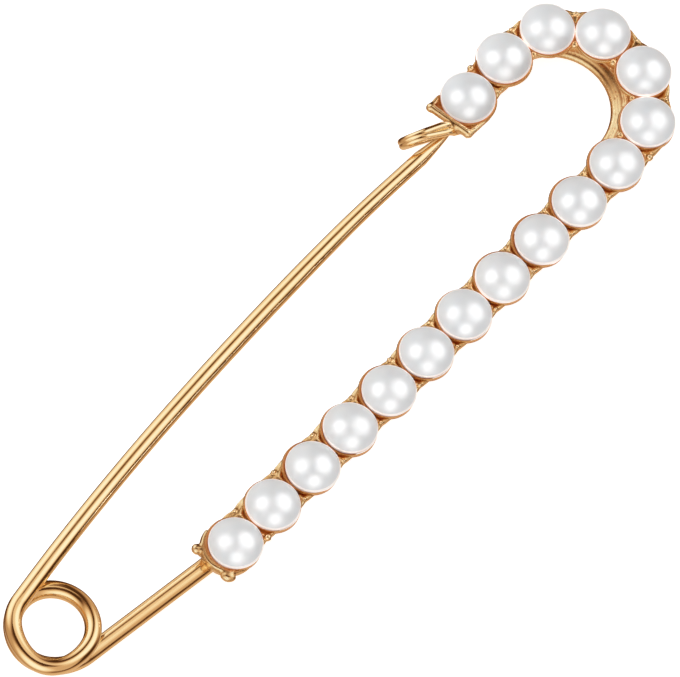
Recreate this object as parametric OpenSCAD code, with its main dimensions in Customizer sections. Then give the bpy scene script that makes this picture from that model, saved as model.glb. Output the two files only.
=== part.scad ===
// Safety-pin scarf brooch: a cane-shaped cast setting with a row of half-round
// pearls, a spring wire pin with a coil at one end and a wire catch at the other.
// The brooch lies on its back, pearls up, with its long axis along X. The first
// pearl stands beside the coil, the row runs to +X and turns back over +Y.

/* [Pearls] */
// Number of pearls in the row
pearl_count = 17; // [17]
// Diameter of a pearl at its girdle
pearl_d = 4.06; // [3.8:0.02:4.08]
// Height of a pearl's dome above its girdle
pearl_dome = 1.35; // [1:0.05:1.8]
// Height of a pearl's straight foot below its girdle
pearl_foot = 0.4; // [0.3:0.05:0.6]
// Distance between two pearls along the row
pearl_pitch = 4.27; // [4.22:0.01:4.4]

/* [Row] */
// Length of the straight run, from the first pearl to the start of the arch
straight_run = 44.4; // [43.5:0.1:45.5]
// Radius of the arch, at the middle of the pearls
arch_r = 5.9; // [5.7:0.05:6.1]
// Angle that the arch turns through
arch_sweep = 183; // [178:1:186]

/* [Setting] */
// Height of the setting, from its flat back to the pearls' girdle
setting_h = 2.9; // [2.8:0.05:3.2]
// Outer radius of a cup at its rim
cup_rim_r = 2.22; // [2.2:0.01:2.4]
// Half the width of the backbone bar
backbone_half_w = 1.25; // [1.1:0.05:1.5]
// Distance of the cups from the pearls' line, towards the pin
cup_shift = 0.08; // [0:0.02:0.1]
// Gap round a pearl in its cup
seat_gap = 0.03; // [0.02:0.01:0.06]
// Height of the backbone bar
backbone_h = 1.6; // [1.3:0.1:1.8]
// Radius of the inner edge of the rail inside the arch
rail_inner_r = 4.45; // [4.2:0.05:4.6]
// Width of that rail
rail_w = 1.3; // [1:0.05:1.5]
// Height of that rail
rail_h = 1.9; // [1.5:0.05:2.2]
// Length of the end cap past the last pearl's centre
cap_reach = 2.52; // [2.4:0.02:2.8]
// Half the width of the end cap
cap_half_w = 1.84; // [1.7:0.02:2]

/* [Webs] */
// Reach of the first web on the pin's side, from the pearls' line
web_reach_first = 2.15; // [2:0.05:2.2]
// Reach of the webs on the pin's side from the arch on
web_reach_last = 1.65; // [1.5:0.05:1.8]
// Reach of the webs on the other side
web_reach_out = 1.5; // [1.4:0.05:1.6]

/* [Spring wire] */
// Diameter of the wire
wire_d = 1.35; // [1.2:0.01:1.35]
// Radius of the coil, at the middle of the wire
coil_r = 2.95; // [2.7:0.05:3.2]
// Drop of the coil in one turn
coil_pitch = 1.49; // [1.46:0.01:1.55]
// Sideways lean of the coil in one turn
coil_lean = 0.42; // [0.3:0.01:0.5]
// Bulge of the coil's front turn, away from the row
coil_bulge = 0.42; // [0:0.02:0.5]
// Place of the coil's axis along the row, from the first pearl
coil_x = -14.23; // [-16:0.01:-13]
// Place of the coil's axis across the row, from the first pearl
coil_y = 5.33; // [5:0.01:5.6]
// Height of the arm's axis over the back of the setting
arm_z = 0.85; // [0.82:0.01:0.9]
// Angle of the arm to the row
arm_turn = -7.5; // [-8.5:0.1:-7]
// Length of the arm, from the coil to its end in the setting
arm_run = 14; // [13.8:0.1:14.4]

/* [Needle] */
// Angle of the needle to the row where it leaves the coil
needle_start = 8.5; // [8:0.1:10]
// Length of the needle's stronger bend next to the coil
needle_bend_run = 20; // [15:1:25]
// Radius of that bend
needle_bend_r = 244; // [200:1:260]
// Radius of the rest of the needle
needle_bow_r = 360; // [300:10:500]
// Length of the whole needle
needle_run = 51.3; // [49:0.1:51.4]
// Length of the ground point
point_run = 3.2; // [2:0.1:3.2]
// Height of the needle's axis at its point
point_z = 1.75; // [1.7:0.01:1.8]

/* [Catch] */
// Diameter of the catch wire
catch_d = 1.05; // [0.9:0.05:1.1]
// Radius of the catch's bend, at the middle of the wire
catch_bend_r = 1.25; // [1.2:0.01:1.3]
// Lean of the catch's return limb away from the row
catch_lean = 18; // [15:1:20]
// Angle of the catch to the end of the row
catch_turn = -27; // [-29:1:-25]
// Length of the catch's front limb, from the end cap to the bend
catch_run = 2.35; // [2.2:0.05:2.6]
// Length of the catch's return limb
catch_return = 1.3; // [1:0.1:1.6]

/* [Hidden] */
$fn = 48;

gold = "#dcb063";
wire_gold = "#e6bd72";
nacre = "#f2f1f0";

// Row of pearls
pearl_r = pearl_d / 2;
arch_run = arch_r * arch_sweep * PI / 180;
last_pearl = (pearl_count - 1) * pearl_pitch;
seat_z = setting_h - pearl_foot;
web_top = setting_h - 0.35;
web_overlap = 0.05;
straight_webs = 10;
dome_r = (pearl_r * pearl_r + pearl_dome * pearl_dome) / (2 * pearl_dome);

// Wire
wire_r = wire_d / 2;
wire_sides = 16;
coil_step = 12;
coil_start = 90 + needle_start;
coil_end = 630 + arm_turn;
turns = (coil_end - coil_start) / 360;
coil_lean_way = 29;
arm_ease = 0.65;
ease_from = 1.15;
arm_ease_way = -39;
coil_bulge_way = 209;
bulge_from = 0.12;
bulge_to = 0.52;
coil_cut = coil_start + (coil_end - coil_start) / 2;
coil_cut_gap = 0.6;
needle_z = arm_z + coil_pitch * turns;
needle_step = 2.5;
level_run = 5;
point_tip_r = 0.06;
point_steps = [0.3, 0.55, 0.78, 1];
arm_step = 2;
socket_gap = 0.03;
socket_depth = 3.4;

// Middle of the whole brooch, seen from above
cups = [for (i = [0 : pearl_count - 1]) let (p = on_row(i * pearl_pitch))
    [p[0] - cup_shift * sin(p[2]), p[1] + cup_shift * cos(p[2])]];
low_x = min([for (a = [coil_start : 3 : coil_end]) on_coil(a)[0]]) - wire_r;
high_x = max([for (c = cups) c[0]]) + cup_rim_r;
mid_x = (low_x + high_x) / 2;
low_y = cup_shift - cup_rim_r;
high_y = max([for (c = cups) c[1]]) + cup_rim_r;
mid_y = (low_y + high_y) / 2;

function pearl_name(i) = str("pearl_", i < 9 ? "0" : "", i + 1);

// Place on the pearls' line at distance s from the first pearl: [x, y, heading]
function on_row(s) =
    s <= straight_run ? [s, 0, 0]
    : s <= straight_run + arch_run ? on_arch((s - straight_run) / arch_run * arch_sweep)
    : let (e = s - straight_run - arch_run, a = on_arch(arch_sweep))
      [a[0] + e * cos(arch_sweep), a[1] + e * sin(arch_sweep), arch_sweep];

function on_arch(a) = [straight_run + arch_r * sin(a), arch_r * (1 - cos(a)), a];

// Place on a wire that starts at p with heading h and bends right with radius r
function bent(p, h, r, s) =
    let (h2 = h - s / r * 180 / PI)
    [p[0] + r * (sin(h) - sin(h2)), p[1] + r * (cos(h2) - cos(h)), h2];

// Place on the coil at angle a of the wire. The coil leans as it drops, its front
// turn bulges a little, and its back turn eases over to the arm.
function bulge(turn) =
    let (share = (turn - bulge_from) / (bulge_to - bulge_from))
    share > 0 && share < 1 ? coil_bulge * pow(sin(180 * share), 2) : 0;

function on_coil(a) =
    let (turn = (a - coil_start) / 360, lean = coil_lean * turn, out = bulge(turn),
         ease = arm_ease * pow(sin(90 * max(0, (turn - ease_from) / (turns - ease_from))), 2))
    [coil_x + coil_r * cos(a)
         + lean * cos(coil_lean_way) + out * cos(coil_bulge_way) + ease * cos(arm_ease_way),
     coil_y + coil_r * sin(a)
         + lean * sin(coil_lean_way) + out * sin(coil_bulge_way) + ease * sin(arm_ease_way),
     arm_z + coil_pitch * (coil_end - a) / 360];

function on_arm(s) =
    let (p = on_coil(coil_end)) [p[0] + s * cos(arm_turn), p[1] + s * sin(arm_turn), arm_z];

function on_needle(s) =
    let (root = on_coil(coil_start),
         knee = bent(root, needle_start, needle_bend_r, needle_bend_run),
         p = s < needle_bend_run ? bent(root, needle_start, needle_bend_r, s)
             : bent(knee, knee[2], needle_bow_r, s - needle_bend_run))
    [p[0], p[1], needle_z + (point_z - needle_z) * max(0, s - level_run) / (needle_run - level_run)];

// Radius of the ground point, at share t of its length
function point_radius(t) = point_tip_r + (wire_r - point_tip_r) * sqrt(1 - t * t);

// Rings round a wire's points, and the faces between them. A wire that lies
// nearly flat keeps one side of every ring level.
function unit(v) = v / norm(v);

function wire_ring(points, radii, i) =
    let (last = len(points) - 1,
         along = unit(points[min(i + 1, last)] - points[max(i - 1, 0)]),
         side = unit(cross(along, [0, 0, 1])),
         up = cross(side, along))
    [for (k = [0 : wire_sides - 1]) let (a = 360 * k / wire_sides)
        points[i] + radii[i] * (cos(a) * side + sin(a) * up)];

module swept_wire(points, radii) {
    rings = len(points);
    polyhedron(
        points = [for (i = [0 : rings - 1]) each wire_ring(points, radii, i)],
        faces = [
            [for (k = [wire_sides - 1 : -1 : 0]) k],
            [for (k = [0 : wire_sides - 1]) (rings - 1) * wire_sides + k],
            for (i = [0 : rings - 2], k = [0 : wire_sides - 1])
                let (a = i * wire_sides + k,
                     b = i * wire_sides + (k + 1) % wire_sides)
                [a, b, b + wire_sides, a + wire_sides]
        ]);
}

module placed() translate([-mid_x, -mid_y, 0]) children();

module at_row(s) {
    place = on_row(s);
    translate([place[0], place[1], 0]) rotate([0, 0, place[2]]) children();
}

// Half-round pearl with a straight foot and a flat back
module pearl(i) placed() color(nacre) at_row(i * pearl_pitch) {
    translate([0, 0, seat_z]) cylinder(h = pearl_foot, r = pearl_r);
    intersection() {
        translate([0, 0, setting_h + pearl_dome - dome_r]) sphere(r = dome_r);
        translate([0, 0, setting_h]) cylinder(h = pearl_dome + 1, r = pearl_r);
    }
}

// The pearls' line as a row of flat figures
module on_line(s) {
    place = on_row(s);
    translate([place[0], place[1]]) rotate(place[2]) children();
}

module backbone() {
    w = backbone_half_w;
    translate([0, -w, 0]) cube([straight_run, 2 * w, backbone_h]);
    cylinder(h = backbone_h, r = w);
    translate([straight_run, arch_r, 0]) rotate([0, 0, -90]) rotate_extrude(angle = arch_sweep)
        translate([arch_r - w, 0]) square([2 * w, backbone_h]);
    at_row(straight_run + arch_run + 0.001) translate([0, -w, 0])
        cube([last_pearl - straight_run - arch_run, 2 * w, backbone_h]);
}

// One layer of the cups, with an outline of the radius r round each pearl
module cup_layer(r, low, high) translate([0, 0, low]) linear_extrude(high - low)
    for (i = [0 : pearl_count - 1]) on_line(i * pearl_pitch) translate([0, cup_shift]) circle(r = r);

// Reach of web i from the pearls' line, on the pin's side (1) or the other (-1)
function web_reach(i, side) =
    side < 0 ? web_reach_out
    : web_reach_last + (web_reach_first - web_reach_last) * max(0, 1 - i / straight_webs);

// Half the width of web i at its reach, where it meets the next cup's outline
function web_half_w(i, side) =
    let (mid = on_row((i + 0.5) * pearl_pitch),
         cup = on_row((i + 1) * pearl_pitch),
         d = [cup[0] - cup_shift * sin(cup[2]) - mid[0], cup[1] + cup_shift * cos(cup[2]) - mid[1]],
         x = d[0] * cos(mid[2]) + d[1] * sin(mid[2]),
         y = d[1] * cos(mid[2]) - d[0] * sin(mid[2]),
         high = side * web_reach(i, side) - y)
    x - sqrt(cup_rim_r * cup_rim_r - high * high) + web_overlap;

// Three-cornered webs between the cups, with their points inwards
module web_layer(low, high) translate([0, 0, low]) linear_extrude(high - low)
    for (i = [0 : pearl_count - 2], side = [-1, 1]) on_line((i + 0.5) * pearl_pitch) {
        y = side * web_reach(i, side);
        w = web_half_w(i, side);
        polygon([[-w, y], [w, y], [0, side * 0.3]]);
    }

// Rounded rail inside the arch. Its centre lies off the arch's own, so that the
// rail grows out from under the cups and goes back under them.
module arch_rail() {
    rail_off = [-0.9, 0.8];
    rail_from = -100;
    rail_to = 62;
    translate([straight_run + rail_off[0], arch_r + rail_off[1], 0]) rotate([0, 0, rail_from])
        rotate_extrude(angle = rail_to - rail_from) translate([rail_inner_r, 0]) {
            square([rail_w, rail_h - rail_w / 2]);
            translate([rail_w / 2, 0]) square([rail_w / 2, backbone_h]);
            translate([rail_w / 2, rail_h - rail_w / 2]) circle(r = rail_w / 2);
        }
}

// Prongs at the coil's end of the row, one on each side of the arm
module end_prongs() {
    end_prong_r = 0.42;
    for (side = [-1, 1]) rotate([0, 0, 180 - side * 35]) translate([2.5, 0, 0]) {
        translate([-0.7, 0, 0.6]) rotate([0, 24, 0]) cylinder(h = 1.9, r1 = 0.4, r2 = end_prong_r);
        translate([0.05, 0, setting_h - 0.45]) sphere(r = end_prong_r);
    }
}

// Straight end of the row beside the catch: a lip with a bead along its edge, two
// corner prongs, and a body under it that draws in towards the back
module end_cap() {
    lip_z = setting_h - 0.5;
    lip_h = 0.35;
    bead_r = 0.2;
    corner_r = 0.29;
    body_half_w = 1.3;
    cap_shift = 0.11;
    rotate([90, 0, 0]) translate([0, 0, -body_half_w]) linear_extrude(2 * body_half_w)
        polygon([[0, 0], [1.4, 0], [cap_reach - 0.15, lip_z + 0.1], [0, lip_z + 0.1]]);
    translate([0, cap_shift, lip_z]) {
        translate([0, -cap_half_w, 0]) cube([cap_reach - bead_r / 2, 2 * cap_half_w, lip_h]);
        translate([cap_reach - bead_r, -cap_half_w, lip_h]) rotate([-90, 0, 0])
            cylinder(h = 2 * cap_half_w, r = bead_r);
        for (side = [-1, 1])
            translate([cap_reach - corner_r, side * (cap_half_w - 0.1), lip_h]) sphere(r = corner_r);
    }
}

// Wire catch: a front limb out of the end cap, a bend, and a return limb behind
// the needle. The bend's plane leans, so the return limb shows beside the front.
module catch_hook() {
    catch_r = catch_d / 2;
    root = [2.49, 0.5];
    root_z = 2.72;
    bury = 1.2;
    bend_z = point_z + catch_bend_r * cos(catch_lean);
    climb = atan2(bend_z - root_z, catch_run);
    limb = norm([catch_run, bend_z - root_z]);
    translate([root[0], root[1], root_z]) rotate([0, 0, catch_turn]) {
        rotate([0, 90 - climb, 0]) translate([0, 0, -bury]) cylinder(h = limb + bury, r = catch_r);
        translate([catch_run, 0, bend_z - root_z]) rotate([-catch_lean, 0, 0]) {
            sphere(r = catch_r);
            translate([0, 0, -catch_bend_r]) rotate([90, 0, 0]) rotate([0, 0, -90])
                rotate_extrude(angle = 180) translate([catch_bend_r, 0]) circle(r = catch_r);
            translate([0, 0, -2 * catch_bend_r]) rotate([0, -90, 0]) cylinder(h = catch_return, r = catch_r);
            translate([-catch_return, 0, -2 * catch_bend_r]) sphere(r = catch_r);
        }
    }
}

// Bore in the end of the setting that holds the arm's end
module arm_socket() {
    tip = on_arm(arm_run);
    before = on_arm(arm_run - 1);
    heading = atan2(tip[1] - before[1], tip[0] - before[0]);
    translate(tip) rotate([0, 0, heading]) rotate([0, -90, 0]) translate([0, 0, -socket_gap])
        cylinder(h = socket_depth, r = wire_r + socket_gap);
}

// Cast setting with the catch soldered to its end cap
module setting_frame() placed() color(gold) difference() {
    union() {
        backbone();
        cup_layer(backbone_half_w + 0.35, 0.9, backbone_h);
        cup_layer(cup_rim_r - 0.25, backbone_h, 2.1);
        cup_layer(cup_rim_r, 2.1, setting_h);
        web_layer(backbone_h, web_top);
        arch_rail();
        end_prongs();
        at_row(last_pearl) {
            end_cap();
            catch_hook();
        }
    }
    for (i = [0 : pearl_count - 1]) at_row(i * pearl_pitch)
        translate([0, 0, seat_z]) cylinder(h = pearl_foot + 2, r = pearl_r + seat_gap);
    arm_socket();
}

// Rest of the wire: the back of the coil and the arm that enters the setting
module spring_arm() placed() color(wire_gold) {
    end = coil_cut + coil_cut_gap;
    coil_points = [on_coil(end), for (a = [end + 2 : coil_step : coil_end - 1]) on_coil(a)];
    arm_points = [for (s = [0 : arm_step : arm_run - 0.5]) on_arm(s), on_arm(arm_run)];
    points = concat(coil_points, arm_points);
    swept_wire(points, [for (p = points) wire_r]);
}

// Moving wire: the front of the coil and the needle with its ground point
module pin_needle() placed() color(wire_gold) {
    shaft = needle_run - point_run;
    point_points = [for (t = point_steps) on_needle(needle_run - point_run * (1 - t))];
    end = coil_cut - coil_cut_gap;
    coil_points = [on_coil(end), for (a = [end - 2 : -coil_step : coil_start + 1]) on_coil(a)];
    shaft_points = [for (s = [0 : needle_step : shaft - 0.5]) on_needle(s), on_needle(shaft)];
    round_part = concat(coil_points, shaft_points);
    swept_wire(concat(round_part, point_points),
               concat([for (p = round_part) wire_r], [for (t = point_steps) point_radius(t)]));
}

setting_frame();
spring_arm();
pin_needle();
for (i = [0 : pearl_count - 1])
    pearl(i);
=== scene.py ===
"""Looks of a scarf pin with half-round pearls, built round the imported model.

Sizes are in millimetres in the row's own frame, as in the part's source: the
first pearl stands at the origin and the row runs to +X, then turns back over +Y.
"""
import math
from functools import reduce

import bpy
import numpy as np
from mathutils import Matrix, Vector


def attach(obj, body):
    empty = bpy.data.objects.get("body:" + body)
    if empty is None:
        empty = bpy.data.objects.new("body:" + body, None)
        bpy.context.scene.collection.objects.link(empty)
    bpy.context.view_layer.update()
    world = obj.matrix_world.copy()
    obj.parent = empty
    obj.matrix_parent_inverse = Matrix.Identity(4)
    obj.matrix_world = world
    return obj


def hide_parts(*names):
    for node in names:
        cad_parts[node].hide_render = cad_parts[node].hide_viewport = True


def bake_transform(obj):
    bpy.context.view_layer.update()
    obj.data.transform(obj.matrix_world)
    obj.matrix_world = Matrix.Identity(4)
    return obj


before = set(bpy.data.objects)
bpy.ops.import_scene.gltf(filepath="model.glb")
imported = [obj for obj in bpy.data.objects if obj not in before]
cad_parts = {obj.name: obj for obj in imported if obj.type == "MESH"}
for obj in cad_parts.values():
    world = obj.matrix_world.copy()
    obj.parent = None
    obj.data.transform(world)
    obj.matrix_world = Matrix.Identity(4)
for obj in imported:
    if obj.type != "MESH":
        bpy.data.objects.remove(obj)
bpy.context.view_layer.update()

MM = 0.001
MID = (17.0804, 5.87493)

# Row of pearls
PEARLS = 17
PITCH = 4.27
PEARL_R = 2.06
PEARL_DOME = 1.35
PEARL_FOOT = 0.4
STRAIGHT_RUN = 44.4
ARCH_R = 5.9
ARCH_SWEEP = 183.0
ARCH_RUN = math.radians(ARCH_SWEEP) * ARCH_R
LAST_PEARL = (PEARLS - 1) * PITCH

# Setting
SETTING_H = 2.9
SEAT_Z = SETTING_H - PEARL_FOOT
RIM_IN = 2.02
RIM_R = 2.155
RIM_SHIFT = 0.12
SEAT_R = 2.04
BACK_HALF_W = 1.25
BACK_FOOT_W = 0.85
BACK_H = 1.6

# Wire
WIRE_R = 0.675
COIL_R = 2.95
COIL_PITCH = 1.49
COIL_LEAN = 0.42
COIL_X, COIL_Y = -14.23, 5.33
ARM_Z = 0.85
ARM_TURN = -7.5
ARM_RUN = 14.0
NEEDLE_START = 8.5
NEEDLE_BEND_RUN = 20.0
NEEDLE_BEND_R = 244.0
NEEDLE_BOW_R = 360.0
NEEDLE_RUN = 51.3
POINT_RUN = 3.2
POINT_Z = 1.75
LEVEL_RUN = 5.0
COIL_START = 90.0 + NEEDLE_START
COIL_END = 630.0 + ARM_TURN
TURNS = (COIL_END - COIL_START) / 360.0
NEEDLE_Z = ARM_Z + COIL_PITCH * TURNS

# Catch
CATCH_R = 0.54
CATCH_BEND_R = 1.25
CATCH_LEAN = 18.0
CATCH_TURN = -27.0
CATCH_RUN = 2.35
CATCH_RETURN = 1.3
CATCH_ROOT = (2.49, 0.62, 2.6)


def sin(degrees):
    return math.sin(math.radians(degrees))


def cos(degrees):
    return math.cos(math.radians(degrees))


def on_row(s):
    """Place on the pearls' line at distance s from the first pearl: x, y, heading."""
    if s <= STRAIGHT_RUN:
        return s, 0.0, 0.0
    swing = min(s - STRAIGHT_RUN, ARCH_RUN) / ARCH_RUN * ARCH_SWEEP
    x = STRAIGHT_RUN + ARCH_R * sin(swing)
    y = ARCH_R * (1 - cos(swing))
    past = max(0.0, s - STRAIGHT_RUN - ARCH_RUN)
    return x + past * cos(swing), y + past * sin(swing), swing


def placed(x, y, z):
    """A point of the row's frame in the part's frame, in metres."""
    return Vector(((x - MID[0]) * MM, (y - MID[1]) * MM, z * MM))


def in_scene(name, data):
    """An object with this data, linked to the scene."""
    made = bpy.data.objects.new(name, data)
    bpy.context.scene.collection.objects.link(made)
    return made


def eased_step(value, low, high):
    """0 up to low, 1 from high on, and a smooth step between."""
    share = min(max((value - low) / (high - low), 0.0), 1.0)
    return share * share * (3 - 2 * share)


# The wire's centre line. Where the coil strays from an even one: how far, which way in
# degrees, and over which turns
LEAN_WAY = 29
BULGE_WAY, BULGE, BULGE_FROM, BULGE_RUN = 209, 0.42, 0.12, 0.4
BACK_BULGE, BACK_BULGE_FROM = 0.26, 1.1
DROP_WAY, DROP = 250, 0.1
EASE_WAY, EASE, EASE_FROM = -39, 0.65, 1.15
# The needle's dip at the catch
DIP_RUN, DIP_ASIDE, DIP_DOWN = 12.0, 0.2, 0.12


def swing_out(turn, start, run, size):
    """A smooth sideways swing of the wire that begins at one turn and is over after run."""
    share = (turn - start) / run
    return size * sin(180 * share) ** 2 if 0 < share < 1 else 0.0


def on_coil(angle):
    turn = (angle - COIL_START) / 360.0
    lean = COIL_LEAN * turn
    bulge = (swing_out(turn, BULGE_FROM, BULGE_RUN, BULGE)
             + swing_out(turn, BACK_BULGE_FROM, TURNS - BACK_BULGE_FROM, BACK_BULGE))
    drop = swing_out(turn, 0.0, 1.0, DROP)
    ease = EASE * sin(90 * max(0.0, (turn - EASE_FROM) / (TURNS - EASE_FROM))) ** 2
    x = COIL_X + COIL_R * cos(angle)
    y = COIL_Y + COIL_R * sin(angle)
    for size, way in ((lean, LEAN_WAY), (bulge, BULGE_WAY), (drop, DROP_WAY), (ease, EASE_WAY)):
        x += size * cos(way)
        y += size * sin(way)
    return x, y, ARM_Z + COIL_PITCH * (COIL_END - angle) / 360.0


def bent(x, y, heading, radius, s):
    """Place at distance s on a wire that bends to the right."""
    turned = heading - math.degrees(s / radius)
    return (x + radius * (sin(heading) - sin(turned)),
            y + radius * (cos(turned) - cos(heading)), turned)


def on_needle(s):
    x, y, _ = on_coil(COIL_START)
    place = bent(x, y, NEEDLE_START, NEEDLE_BEND_R, min(s, NEEDLE_BEND_RUN))
    if s > NEEDLE_BEND_RUN:
        place = bent(*place, NEEDLE_BOW_R, s - NEEDLE_BEND_RUN)
    fall = max(0.0, s - LEVEL_RUN) / (NEEDLE_RUN - LEVEL_RUN)
    dip = eased_step(s, NEEDLE_RUN - DIP_RUN, NEEDLE_RUN)
    return (place[0], place[1] - DIP_ASIDE * dip,
            NEEDLE_Z + (POINT_Z - NEEDLE_Z) * fall - DIP_DOWN * dip)


def on_arm(s):
    x, y, _ = on_coil(COIL_END)
    return x + s * cos(ARM_TURN), y + s * sin(ARM_TURN), ARM_Z


# Shader groups and materials

def new_tree(kind, name, inputs, outputs):
    """An empty node tree with its inputs and outputs: (tree, in node, out node)."""
    tree = bpy.data.node_groups.new(name, kind + "NodeTree")
    for way, sockets in (("INPUT", inputs), ("OUTPUT", outputs)):
        for label, holds, *value in sockets:
            socket = tree.interface.new_socket(label, in_out=way,
                                               socket_type="NodeSocket" + holds)
            if value:
                socket.default_value = value[0]
    return tree, tree.nodes.new("NodeGroupInput"), tree.nodes.new("NodeGroupOutput")


def node(tree, kind, **settings):
    """A new node with its settings. One named after an input sets it or links a socket to it."""
    made = tree.nodes.new(kind)
    for key, value in settings.items():
        if hasattr(made, key):
            setattr(made, key, value)
        elif isinstance(value, bpy.types.NodeSocket):
            tree.links.new(value, made.inputs[key.replace("_", " ")])
        else:
            made.inputs[key.replace("_", " ")].default_value = value
    return made


def math_node(tree, operation, *values):
    """A sum of numbers and sockets."""
    made = node(tree, "ShaderNodeMath", operation=operation)
    for i, value in enumerate(values):
        if isinstance(value, (int, float)):
            made.inputs[i].default_value = value
        else:
            tree.links.new(value, made.inputs[i])
    return made.outputs[0]


def spread(tree, value, low, high, to_low=0.0, to_high=1.0):
    """value from low..high to to_low..to_high, smoothly."""
    made = node(tree, "ShaderNodeMapRange", interpolation_type="SMOOTHSTEP")
    for i, number in enumerate((low, high, to_low, to_high)):
        made.inputs[i + 1].default_value = number
    tree.links.new(value, made.inputs[0])
    return made.outputs[0]


def blended(tree, share, a, b):
    """Colour a where share is 0 and b where it is 1."""
    made = node(tree, "ShaderNodeMix", data_type="RGBA")
    tree.links.new(share, made.inputs["Factor"])
    for socket, value in ((made.inputs[6], a), (made.inputs[7], b)):
        if isinstance(value, tuple):
            socket.default_value = (*value, 1.0)
        else:
            tree.links.new(value, socket)
    return made.outputs[2]


def fine_grain_group():
    """Fine pits and soft waves of a polished surface, from a place on it in metres."""
    tree, given, out = new_tree(
        "Shader", "fine grain",
        [("Place", "Vector"), ("Pits per metre", "Float", 6000.0),
         ("Waves per metre", "Float", 900.0)], [("Pits", "Float"), ("Waves", "Float")])
    for label, size, detail in (("Pits", "Pits per metre", 3.0),
                                ("Waves", "Waves per metre", 2.0)):
        noise = node(tree, "ShaderNodeTexNoise", Detail=detail, Roughness=0.55,
                     Vector=given.outputs["Place"], Scale=given.outputs[size])
        tree.links.new(noise.outputs["Fac"], out.inputs[label])
    return tree


def edge_wear_highlight_and_hollow_shade_group():
    """Masks of a metal's edges, which get wear and a painted highlight, and of its hollows, which
    get painted shade, from how much metal is around a place: about a half on a flat face, less on
    an edge and more in a hollow."""
    tree, given, out = new_tree(
        "Shader", "edge wear and highlight, hollow shade",
        [("Metal around", "Float", 0.5), ("Grain", "Float", 0.5)],
        [("Edge", "Float"), ("Hollow", "Float")])
    uneven = math_node(tree, "MULTIPLY_ADD", given.outputs["Grain"], 0.12, -0.06)
    around = math_node(tree, "ADD", given.outputs["Metal around"], uneven)
    tree.links.new(spread(tree, around, 0.43, 0.25), out.inputs["Edge"])
    tree.links.new(spread(tree, around, 0.48, 0.66), out.inputs["Hollow"])
    return tree


GRAIN = fine_grain_group()
EDGE_AND_HOLLOW_SHADE_GROUP = edge_wear_highlight_and_hollow_shade_group()


def grain_on(tree, pits, waves):
    """The fine grain of a piece, with so many pits and waves to the metre."""
    place = node(tree, "ShaderNodeTexCoord")
    return node(tree, "ShaderNodeGroup", node_tree=GRAIN, Place=place.outputs["Object"],
                Pits_per_metre=pits, Waves_per_metre=waves)


def set_inputs(shader, *values):
    for label, value in values:
        shader.inputs[label].default_value = value


def new_material(name, metallic, roughness):
    """A material with its Principled shader: (material, tree, shader)."""
    made = bpy.data.materials.new(name)
    made.use_nodes = True
    tree = made.node_tree
    shader = tree.nodes["Principled BSDF"]
    set_inputs(shader, ("Metallic", metallic), ("Roughness", roughness))
    return made, tree, shader


def bumped(tree, shader, height, distance, strength):
    bump = node(tree, "ShaderNodeBump", Strength=strength, Distance=distance, Height=height)
    tree.links.new(bump.outputs["Normal"], shader.inputs["Normal"])


GOLD = (0.98, 0.75, 0.44)
DULLER_GOLD = (0.97, 0.72, 0.4)
# Painted shade colour for hollows and beside the pearls, then a pale edge colour that is partly
# wear and partly painted highlight
PAINTED_SHADE_GOLD = (0.64, 0.27, 0.1)
EDGE_WEAR_AND_HIGHLIGHT_GOLD = (1.0, 0.8, 0.52)
CAST_TONE = (0.85, 0.6, 0.315)
CAST_ROUGH, HOLLOW_ROUGH = 0.22, 0.14
WIRE_ROUGH, LINE_ROUGH = 0.03, 0.06
LINES_ALONG, LINES_ROUND = 40.0, 14.0
NACRE_SHADE, NACRE_LIGHT, NACRE_OWN = (0.83, 0.84, 0.85), (0.87, 0.875, 0.88), (0.87,) * 3
# Painted reflection of the gold on the pearls' edges: its colour, and how strongly it glows
PAINTED_GOLD_REFLECTION_ON_NACRE, PAINTED_EDGE_GLOW = (1.0, 0.9, 0.84), 0.22
# The part of a noise's values that most of it lies in
MIDDLE = (0.3, 0.7)


def cast_gold():
    """Polished cast metal with a gold plating: painted shade, dark and reddish, in its hollows
    and beside the pearls, and pale edges that are partly wear and partly painted highlight.
    """
    made, tree, shader = new_material("cast gold", 1.0, 0.25)
    around = node(tree, "ShaderNodeAttribute", attribute_name="metal_around")
    grain = grain_on(tree, 7000.0, 700.0)
    edge_and_hollow_shade = node(tree, "ShaderNodeGroup", node_tree=EDGE_AND_HOLLOW_SHADE_GROUP, Metal_around=around.outputs["Fac"],
                Grain=grain.outputs["Waves"])
    # Painted shade: hollows and metal beside the pearls turn dark reddish gold; edges turn pale,
    # partly wear and partly painted highlight.
    colour = blended(tree, edge_and_hollow_shade.outputs["Hollow"], CAST_TONE, PAINTED_SHADE_GOLD)
    colour = blended(tree, edge_and_hollow_shade.outputs["Edge"], colour, EDGE_WEAR_AND_HIGHLIGHT_GOLD)
    tree.links.new(colour, shader.inputs["Base Color"])
    rough = math_node(tree, "MULTIPLY_ADD", edge_and_hollow_shade.outputs["Hollow"], HOLLOW_ROUGH, CAST_ROUGH)
    pits = spread(tree, grain.outputs["Pits"], *MIDDLE, -0.03, 0.05)
    rough = math_node(tree, "ADD", rough, pits)
    tree.links.new(rough, shader.inputs["Roughness"])
    bumped(tree, shader, grain.outputs["Waves"], 0.00002, 0.2)
    return made


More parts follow.
